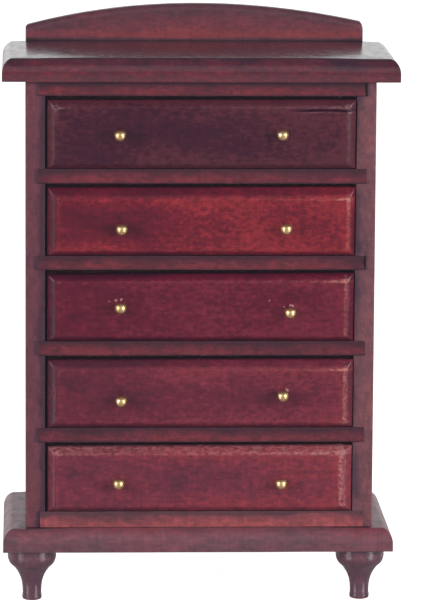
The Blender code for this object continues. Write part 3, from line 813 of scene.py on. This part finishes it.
def front_rings(face, rear):
    """Sections of a drawer front from its rear to its face: how far they are set in at the
    ends for the laps, how far all round, their share of the rounded edge, and their y."""
    lap_y = rear - LAP_DEPTH
    rings = [
        (LAP_WIDTH + REAR_CHAMFER, REAR_CHAMFER, 0.0, rear),
        (LAP_WIDTH, 0.0, 0.0, rear - REAR_CHAMFER),
        (LAP_WIDTH, 0.0, 0.0, lap_y),
        (REAR_CHAMFER, 0.0, 0.0, lap_y),
        (0.0, 0.0, 0.0, lap_y - REAR_CHAMFER),
    ]
    for share, rise in worked_edge(FRONT_SLOPES):
        rings.append((0.0, 0.0, share, face + FRONT_ROUNDING * (1 - rise)))
    rings.append((ARRIS, ARRIS, 1.0, face - 0.01 * MM))
    return rings


def crack(x, below):
    """Shares of the crack's depth and of its pale lower lip, at points that lie this far
    below the front's upper edge."""
    run = np.clip((x - SPLIT_START) / SPLIT_RUN, 0, 1)
    beyond = below - SPLIT_BELOW - SPLIT_WAVE * np.sin(x / SPLIT_WAVE_LENGTH)
    lip = bell(beyond - 2.2 * SPLIT_WIDTH, 0.7 * SPLIT_WIDTH)
    return run * bell(beyond, SPLIT_WIDTH), run * lip


def front_wear(shape, widths, gaps, u):
    """Rubbing along the arrises of a drawer front's face, more towards its corners and, on the
    upper arris, more towards the right; it is partly real wear and partly a painted highlight of
    the lamps. Also gives how deep inside the face's flat each point lies, below 0 on the rounded
    edges. u is 0 at the left end and 1 at the right."""
    beyond = gaps - widths
    nearest = np.argmin(beyond, axis=1)
    depth = beyond.min(axis=1)
    to_right = RUB_LEFT_SHARE + (1 - RUB_LEFT_SHARE) * u**2
    rub = np.array(shape.rub)[nearest] * np.where(nearest == TOP_EDGE, to_right, 1.0)
    wear = rub * bell(depth - RUB_CENTRE, (0.22 + 0.35 * rub) * MM)
    for corner, (side, end) in CORNER_EDGES.items():
        across = np.minimum(np.abs(beyond[:, side]), np.abs(beyond[:, end]))
        from_corner = np.maximum(np.abs(beyond[:, side]), np.abs(beyond[:, end]))
        line = bell(across - RUB_CENTRE, 0.28 * MM) * np.exp(-from_corner / CORNER_REACH)
        spot = bell(np.hypot(beyond[:, side], beyond[:, end]), CORNER_SPOT)
        wear += getattr(shape.corners, corner) * (0.55 * line + 0.45 * spot)
    return wear, depth


def make_front(number, material):
    """A drawer front: rounded on all four edges of its face, lapped for the drawer sides."""
    node = f"drawer_{number}_front"
    shape = FRONTS[number - 1]
    low, high = corners_of(node)
    low, high = low + CLEAR, high - CLEAR
    us = ticks(0.0, 1.0, step=0.0085, fine=0.035, count=14)
    vs = ticks(0.0, 1.0, step=0.030, fine=0.14, count=18)
    rings = front_rings(low[1], high[1])
    points, quads = lattice(us, vs, range(len(rings)))
    lap, trim, share, y = ring_values(rings, points)
    u, v = points[:, 0], points[:, 1]
    widths = np.array(shape.rounding) * MM
    planed = (shape.planed_left * (1 - u) + shape.planed_right * u) * MM
    left = low[0] + lap + share * widths[0]
    right = high[0] - lap - share * widths[1]
    bottom = low[2] + trim + share * widths[3]
    top = high[2] - planed - trim - share * widths[2]
    x = left + (right - left) * u
    z = bottom + (top - bottom) * v
    x, z = round_corners(x, z, left, right, bottom, top, (0.1 + 0.5 * share) * MM)
    crown = (2 * u - 1) ** FACE_CROWN_POWER + (2 * v - 1) ** FACE_CROWN_POWER
    y = y + share * FACE_CROWN * crown / 2
    gaps = np.stack([x - low[0], high[0] - x, high[2] - planed - z, z - low[2]], 1)
    wear, depth = front_wear(shape, widths, gaps, u)
    # the rounded edges take their stain and painted shade
    on_edge = np.clip(-depth / EDGE_SHADING_RUN, 0, 1)
    stain = np.exp(-np.clip(depth, 0, None) / WARM_RIM) + shape.edge_stain_and_shade * on_edge
    # painted sheen: the fronts are painted paler towards the right
    stain += PAINTED_SHEEN_RIGHT * (u - 0.5)
    wear += shape.dust * np.clip(1.3 - gaps[:, TOP_EDGE] / widths[TOP_EDGE], 0, 1)
    if number == 1:
        split, lip = crack(x, high[2] - z)
        y = y + share * SPLIT_DEPTH * split
        stain -= SPLIT_DARK * split
        wear += SPLIT_LIP_WEAR * lip
    solid = uneven(np.stack([x, y, z], 1), *FRONT_WANDER, number * 7)
    return add_piece(node, solid, quads, material, wear, stain)


def turned(profile, centre, axis, steps):
    """A solid of revolution about a line along the axis, Z or Y. The profile is (radius,
    height) from one pole to the other, and heights run up or towards the front."""
    turns = np.arange(steps) / steps * math.tau
    rows = [[radius * np.cos(turns), radius * np.sin(turns), np.full(steps, height)]
            for radius, height in profile[1:-1]]
    ring_points = np.concatenate([np.stack(row, 1) for row in rows])
    poles = np.array([(0.0, 0.0, profile[0][1]), (0.0, 0.0, profile[-1][1])])
    points = np.concatenate([ring_points, poles])
    first, last = len(ring_points), len(ring_points) + 1
    faces = []
    for row in range(len(rows) - 1):
        for step in range(steps):
            after = (step + 1) % steps
            a, b = row * steps + step, row * steps + after
            faces.append((a, a + steps, b + steps, b))
    for step in range(steps):
        after = (step + 1) % steps
        faces.append((first, step, after))
        bottom = (len(rows) - 1) * steps
        faces.append((last, bottom + after, bottom + step))
    if axis == "Y":
        points = np.stack([points[:, 0], -points[:, 2], points[:, 1]], 1)
    return points + np.array(centre), faces


def foot_profile(seat):
    """From the seat under the base board down the shoulder, the hollow leg and the toe."""
    oval = SHOULDER_RADIUS - SHOULDER_ROUND
    points = [(0.0, seat), (SHOULDER_RADIUS - 0.5 * MM, seat), (SHOULDER_RADIUS - 0.12 * MM, seat)]
    for step in range(SHOULDER_STEPS + 1):
        angle = SHOULDER_END * step / SHOULDER_STEPS
        radius = oval + SHOULDER_ROUND * math.cos(angle)
        points.append((radius, SHOULDER_Z - SHOULDER_HALF_HEIGHT * math.sin(angle)))
    hollow_radius, hollow_z = points[-1]
    points.append((hollow_radius - 0.03 * MM, hollow_z - 0.04 * MM))
    for step in range(1, HOLLOW_STEPS + 1):
        share = 1 - step / HOLLOW_STEPS
        radius = ANKLE_RADIUS + (hollow_radius - 0.05 * MM - ANKLE_RADIUS) * share**HOLLOW_POWER
        points.append((radius, ANKLE_Z + (hollow_z - ANKLE_Z) * share))
    points += [
        (TOE_RADIUS - 0.03 * MM, TOE_Z + 0.35 * MM),
        (TOE_RADIUS, TOE_Z),
        (TOE_RADIUS - 0.02 * MM, TOE_Z / 2),
        (TOE_RADIUS - 0.12 * MM, 0.1 * MM),
        (SOLE_RADIUS - 0.1 * MM, 0.0),
        (0.0, 0.0),
    ]
    return points


def make_foot(node, material, seed):
    """A turned foot, rubbed a little on its shoulder and toe."""
    low, high = corners_of(node)
    base_low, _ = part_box("base_board")
    centre = ((low[0] + high[0]) / 2, (low[1] + high[1]) / 2, low[2])
    profile = foot_profile(base_low[2] - low[2] - GLUE)
    points, faces = turned(profile, centre, "Z", FOOT_TURNS)
    height = points[:, 2] - low[2]
    wear = TOE_WEAR * bell(height, 0.4 * MM)
    wear += SHOULDER_WEAR * bell(height - SHOULDER_Z, 0.8 * MM)
    points = uneven(points, *FOOT_WANDER, seed)
    return add_piece(node, points, faces, material, wear)


def knob_profile(face, tip):
    """Ball, neck and flare, measured outwards from the drawer front's face."""
    centre = tip - BALL_RADIUS
    points = []
    neck_angle = math.asin(NECK_RADIUS / BALL_RADIUS)
    for step in range(BALL_STEPS + 1):
        angle = (math.pi - neck_angle) * step / BALL_STEPS
        points.append((BALL_RADIUS * math.sin(angle), centre + BALL_RADIUS * math.cos(angle)))
    points[0] = (0.0, tip)
    waist = centre - BALL_RADIUS * math.cos(neck_angle) - 0.08 * MM
    points.append((NECK_RADIUS * 0.96, waist))
    points.append((FLARE_RADIUS, face + 0.07 * MM))
    points.append((FLARE_RADIUS, face + 0.01 * MM))
    points.append((FLARE_RADIUS * 0.5, face))
    points.append((0.0, face))
    return points


def make_knob(node, front_face, material):
    """A brass knob that stands on the drawer front's face, which lies at y front_face."""
    low, high = corners_of(node)
    centre = ((low[0] + high[0]) / 2, 0.0, (low[2] + high[2]) / 2)
    profile = knob_profile(-front_face, -low[1])
    points, faces = turned(profile, centre, "Y", KNOB_TURNS)
    return add_piece(node, points, faces, material)


def soften_cad(node, material, width):
    """A CAD solid that keeps its shape, with softened edges and its own finish."""
    piece = frame["nodes"][node]
    piece.data.materials.clear()
    piece.data.materials.append(material)
    edge = piece.modifiers.new("soft_edges", "BEVEL")
    edge.width = width
    edge.segments = 2
    edge.limit_method = "ANGLE"
    edge.angle_limit = BEVEL_ANGLE
    edge.harden_normals = False
    return piece


# ------------------------ the chest

def make_case():
    """The fixed body: top, base, back, dust boards, sides and feet."""
    top = lacquered("top_lacquer", TOP_TONE, TOP_GLOSS, "X", 2.0)
    worked_board("top_board", top, 3, TOP_PAINTED_SHADING)
    base = lacquered("base_lacquer", BASE_TONE, BASE_GLOSS, "X", 3.0)
    worked_board("base_board", base, 5, BASE_STAIN)
    make_back_board(lacquered("crest_lacquer", CREST_TONE, CASE_GLOSS, "X", 11.0))
    rail = lacquered("rail_lacquer", RAIL_TONE, CASE_GLOSS, "X", 5.0)
    sill = lacquered("sill_lacquer", SILL_TONE, CASE_GLOSS, "X", 6.0)
    for seed, node in enumerate(RAILS):
        make_rail(node, sill if node == "case_bottom" else rail, 40 + seed)
    left = lacquered("left_lacquer", LEFT_TONE, CASE_GLOSS, "Z", 8.0)
    make_side("side_left", -1, 0.0, left)
    right = lacquered("right_lacquer", RIGHT_TONE, CASE_GLOSS, "Z", 9.0)
    make_side("side_right", 1, RIGHT_LEAN, right)
    foot = lacquered("foot_lacquer", FOOT_TONE, FOOT_GLOSS, "Z", 14.0)
    for seed, node in enumerate(sorted(n for n in frame["nodes"] if n.startswith("foot_"))):
        make_foot(node, foot, 60 + seed)


def chip_places(number):
    """The chips of a drawer's front as (x, z, radius), in millimetres."""
    places = []
    for side, right, up, radius in FRONTS[number - 1].chips:
        low, high = corners_of(f"drawer_{number}_knob_{side}")
        middle = (low + high) / (2 * MM)
        places.append((middle[0] + right, middle[2] + up, radius))
    return places


def make_drawer(number, woods, brass):
    """One drawer: its worked front, its softened CAD box, and two knobs."""
    face_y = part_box(f"drawer_{number}_front")[0][1] / MM
    finish = lacquered(f"front_lacquer_{number}", FRONT_TONES[number - 1], FRONT_GLOSS, "X",
                       20.0 + 7 * number, chip_places(number), face_y)
    front = make_front(number, finish)
    face = min(vertex.co.y for vertex in front.data.vertices) + FRONT_WANDER[0]
    soften_cad(f"drawer_{number}_side_left", woods["Y"], BOX_SOFTENING)
    soften_cad(f"drawer_{number}_side_right", woods["Y"], BOX_SOFTENING)
    soften_cad(f"drawer_{number}_back", woods["X"], BOX_SOFTENING)
    soften_cad(f"drawer_{number}_bottom", woods["X"], PANEL_SOFTENING)
    for side in ("left", "right"):
        make_knob(f"drawer_{number}_knob_{side}", face, brass)


def make_drawers():
    """All five drawers, which share the bare wood and the brass."""
    woods = {axis: bare_wood("bare_wood_" + axis.lower(), axis) for axis in "XY"}
    brass = polished_brass("knob_brass")
    for number in range(1, len(FRONTS) + 1):
        make_drawer(number, woods, brass)


# ------------------------ stage

FLOOR_SIZE = 8.0
FLOOR_GAP = 0.01 * MM            # keeps the floor clear of the feet's soles
CAMERA_PLACE = Vector((-32.674, -745.066, 191.484)) * MM
CAMERA_DOWN = math.radians(10.38216)
CAMERA_YAW = math.radians(2.73877)
CAMERA_ROLL = math.radians(0.461305)
CAMERA_LENS = 240.26             # focal length in mm, on the sensor below
CAMERA_SENSOR = 36.0
LENS_VEIL = (0.012, 0.009, 0.013)    # stray light in the camera
BACK_GLOW = 0.92                 # brightness of the white surroundings behind the chest
FRONT_GLOW = 0.60                # of what is above the camera
ROOM_GLOW = 0.20                 # and of the rest of the room
FLOOR_GLOW = 0.80                # the paper's own light, as if lit from below
FLOOR_SEEN_BY_CHEST = (0.60, 0.60, 0.60)
LAMP_AIM = Vector((0.0, 0.0, 55 * MM))
LAMP_DISTANCE = 0.75
LAMP_SIZE = 0.28
LAMP_HEIGHT = math.radians(14.0)     # angle above the level of what they aim at
LAMPS = (                        # name, angle to the right of the front in degrees, watts
    ("softbox_left", -56.5, 3.6),
    ("softbox_right", 51.5, 4.4),
)


def make_floor():
    """Pale paper on a light table. The chest sees it darker than the camera does."""
    bpy.ops.mesh.primitive_plane_add(size=FLOOR_SIZE, location=(0.0, 0.0, -FLOOR_GAP))
    floor = bpy.context.object
    floor.name = "floor"
    made = Recipe(bpy.data.materials.new("floor_paper"))
    grain = made.noise([3.0, 3.0, 3.0], 4.0, 0.6)
    pale = made.mix(made.band(grain, 0.3, 0.7), (0.88, 0.88, 0.88), (0.92, 0.92, 0.92))
    seen = made.node("LightPath").outputs["Is Camera Ray"]
    colour = made.mix(seen, FLOOR_SEEN_BY_CHEST, pale)
    normal = made.bump(grain, 0.02 * MM)
    shader = made.tree.nodes["Principled BSDF"]
    made.feed(shader.inputs["Emission Color"], (1.0, 1.0, 1.0))
    made.feed(shader.inputs["Emission Strength"], made.maths("MULTIPLY", seen, FLOOR_GLOW))
    rough = made.band(seen, 0.0, 1.0, 0.12, 0.9)
    sheen = made.band(seen, 0.0, 1.0, 1.0, 0.0)
    floor.data.materials.append(made.finish(colour, rough, normal, specular=sheen))


def make_world():
    """A dim room, white behind the chest and grey above the camera, which sees white."""
    world = bpy.data.worlds.new("studio")
    bpy.context.scene.world = world
    made = Recipe(world)
    split = made.node("SeparateXYZ")
    made.feed(split.inputs[0], made.node("TexCoord").outputs["Generated"])
    back, up = split.outputs["Y"], split.outputs["Z"]
    behind = made.maths("MULTIPLY", made.band(back, -0.1, 0.5), made.band(up, 0.65, 0.30))
    arch = made.maths("MULTIPLY", made.band(up, 0.00, 0.20), made.band(up, 0.75, 0.50))
    before = made.maths("MULTIPLY", made.band(back, 0.2, -0.4), arch)
    glow = made.sum((BACK_GLOW, behind), (FRONT_GLOW, before), (ROOM_GLOW, 1.0))
    seen = made.node("LightPath").outputs["Is Camera Ray"]
    unseen = made.maths("MULTIPLY", made.maths("SUBTRACT", 1.0, seen), glow)
    background = made.tree.nodes["Background"]
    background.inputs["Color"].default_value = (1.0, 1.0, 1.0, 1.0)
    made.feed(background.inputs["Strength"], made.maths("ADD", seen, unseen))


def make_lights():
    """Two square lamps in front of the chest, at its left and right."""
    for name, azimuth, power in LAMPS:
        lamp = bpy.data.lights.new(name, "AREA")
        lamp.shape = "SQUARE"
        lamp.size = LAMP_SIZE
        lamp.energy = power
        holder = bpy.data.objects.new(name, lamp)
        bpy.context.scene.collection.objects.link(holder)
        side = math.radians(azimuth)
        level = math.cos(LAMP_HEIGHT)
        away = Vector((math.sin(side) * level, -math.cos(side) * level, math.sin(LAMP_HEIGHT)))
        holder.location = LAMP_AIM + away * LAMP_DISTANCE
        holder.rotation_euler = away.to_track_quat("Z", "Y").to_euler()


def make_camera():
    """A long lens at the photo's viewpoint, and the photo's veil of stray light."""
    lens = bpy.data.cameras.new("camera")
    lens.lens = CAMERA_LENS
    lens.sensor_width = CAMERA_SENSOR
    lens.clip_start = 0.01
    lens.clip_end = 20.0
    camera = bpy.data.objects.new("camera", lens)
    bpy.context.scene.collection.objects.link(camera)
    yaw = Matrix.Rotation(-CAMERA_YAW, 4, "Z")
    tilt = Matrix.Rotation(math.pi / 2 - CAMERA_DOWN, 4, "X")
    roll = Matrix.Rotation(CAMERA_ROLL, 4, "Z")
    camera.matrix_world = Matrix.Translation(CAMERA_PLACE) @ yaw @ tilt @ roll
    bpy.context.scene.camera = camera
    view = bpy.context.scene.view_settings
    view.view_transform = "Standard"
    view.use_curve_mapping = True
    view.curve_mapping.black_level = [-level for level in LENS_VEIL]


make_case()
make_drawers()
make_floor()
make_world()
make_lights()
make_camera()
